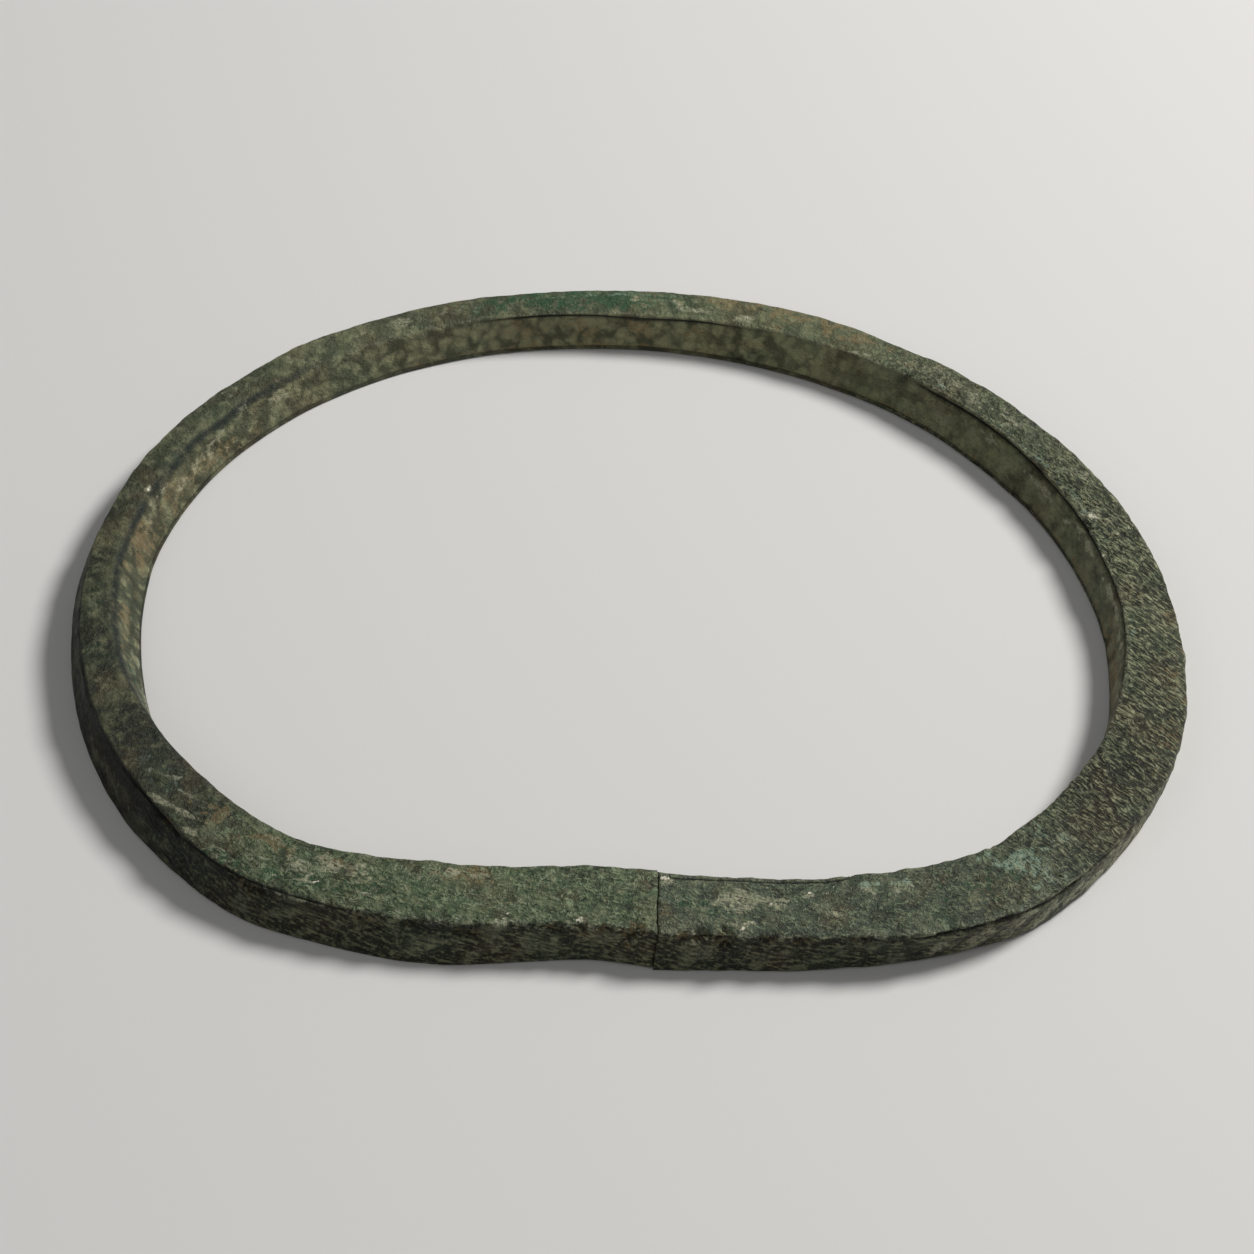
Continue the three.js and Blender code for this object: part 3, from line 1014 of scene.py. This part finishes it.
# The grain, and the strokes drawn in it, with pale flecks on the right-hand arm.
on_front = bronze.layer("veined")
stroke_light = on_strokes * (fine_strokes - 0.5) * 1.6 + on_front * (skin_strokes - 0.5) * 0.7
on_outer_here = 1 - on_top_here - on_inner_here
rough_outer = on_outer_here * (1 - bronze.layer("smooth_wall") * 0.65)
skin_light = (rough_outer * 1.3 + on_inner_here * 0.3) * (skin_strokes - 0.5)
fine_grain = (grain - 0.5) * (1.0 - on_strokes * 0.3 - on_front * 0.4 - on_inner_here * 0.4)
grain_light = (fine_grain + stroke_light + skin_light) * crispness
base = bronze.mixed(bronze.between(grain_light, 0.12, 0.6) * 0.6, base, light_tone)
base = bronze.mixed(bronze.between(grain_light, -0.05, -0.55) * 0.72, base, soot)
flecks = bronze.between(fine_strokes, 0.7, 0.95) * bronze.between(specks, 0.45, 0.7) * on_strokes
base = bronze.mixed(flecks * 0.65, base, fleck_cream)

# Fine pale veins follow the middle value of a swirling noise.
swirls = {"Vector": place_mm, "Scale": 1.0, "Detail": 3, "Distortion": 1.5}
swirl = bronze.node("ShaderNodeTexNoise", {}, swirls)
off_vein = bronze.node("ShaderNodeMath", {"operation": "ABSOLUTE"}, {0: swirl - 0.5})
veins = bronze.between(off_vein, 0.06, 0.01) * bronze.between(specks, 0.3, 0.6) * on_front
base = bronze.mixed(veins * 0.5, base, vein_green)

# Rubbed edges lightened as wear and painted highlight, blue-green dirt in the grooves, black dirt
# and painted shade in the hollows, and the white crystals.
rubbed_and_highlit_edges = bronze.layer("edges") * bronze.between(grain, 0.55, 0.85)
groove_dirt = bronze.layer("teal") * bronze.between(unevenness, 0.0, 0.5)
# Black painted into the hollows, as dirt and painted shade.
grime_and_shade_here = bronze.between(bronze.layer("hollow"), 0.12, 0.95)
crystal = bronze.between(bronze.layer("white") * 1.3 - grain * 0.5, 0.1, 0.35)
base = bronze.mixed(rubbed_and_highlit_edges * 0.5, base, rubbed_edge_and_highlight)
base = bronze.mixed(groove_dirt * 0.9, base, deep_teal)
# The tone scales the colour, with painted shade on the outer walls of the left-hand arm and the front.
base = bronze.node("ShaderNodeVectorMath", {"operation": "SCALE"}, {0: base, "Scale": bronze.layer("tone")})
base = bronze.mixed(grime_and_shade_here * 0.94, base, grime_and_shade_black)
base = bronze.mixed(crystal, base, crystal_white)

# What is too fine for the mesh is bumped, and the crust is duller than the bare scale.
bump_depth = 0.11
height = (grain * 0.4 + specks * 0.8) * (1 - on_front * 0.35 - on_strokes * 0.5)
height = height + fine_strokes * on_strokes * 0.8
height = height + skin_strokes * (rough_outer * 0.9 + on_inner_here * 0.3) + veins * 0.5 + granule_tops * 0.9
bump = bronze.node("ShaderNodeBump", {}, {"Height": height, "Strength": 1.0, "Distance": bump_depth * MM})
dullness = 0.48 + specks * 0.25 + crust_here * 0.08
surface = bronze.node("ShaderNodeBsdfPrincipled", {}, {
    "Base Color": base,
    "Roughness": dullness,
    "Metallic": 0.1,
    "Specular IOR Level": 0.4,
    "Normal": bump,
})
bronze.node("ShaderNodeOutputMaterial", {}, {"Surface": surface})

bar_mesh.materials.append(bronze.material)
bangle = bpy.data.objects.new("bronze_bar", bar_mesh)
bpy.context.collection.objects.link(bangle)
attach(bangle, "root")
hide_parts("bangle")


# The table top: a plain, pale, matt board that the bangle lies on.
floor_half = 900
floor_mesh = bpy.data.meshes.new("floor")
floor_signs = ((-1, -1), (1, -1), (1, 1), (-1, 1))
floor_corners = [(x * floor_half * MM, y * floor_half * MM, 0) for x, y in floor_signs]
floor_mesh.from_pydata(floor_corners, [], [(0, 1, 2, 3)])
board = Finish("floor_paint")
matt = board.node("ShaderNodeBsdfPrincipled", {}, {
    "Base Color": (0.92, 0.92, 0.92, 1),
    "Roughness": 0.9,
    "Specular IOR Level": 0.2,
})
board.node("ShaderNodeOutputMaterial", {}, {"Surface": matt})
floor_mesh.materials.append(board.material)
floor = bpy.data.objects.new("floor", floor_mesh)
bpy.context.collection.objects.link(floor)


# The light: one large soft window behind the bangle to the right, a faint one in front to the
# left, and a pale room.
def soft_window(name, direction, distance, width, power):
    light = bpy.data.lights.new(name, "AREA")
    light.shape = "DISK"
    light.size = width * MM
    light.energy = power
    light.color = (1, 0.98, 0.94)
    placed = bpy.data.objects.new(name, light)
    placed.location = Vector(direction).normalized() * distance * MM
    placed.rotation_euler = Vector(direction).to_track_quat("Z", "Y").to_euler()
    bpy.context.collection.objects.link(placed)


soft_window("key_light", (0.66, 0.36, 0.66), distance=600, width=170, power=2.9)
soft_window("fill_light", (-0.6, -0.5, 0.7), distance=700, width=500, power=0.35)
room = bpy.data.worlds.new("room")
room.use_nodes = True
room.node_tree.nodes["Background"].inputs["Color"].default_value = (1, 1, 1, 1)
room.node_tree.nodes["Background"].inputs["Strength"].default_value = 0.13
bpy.context.scene.world = room
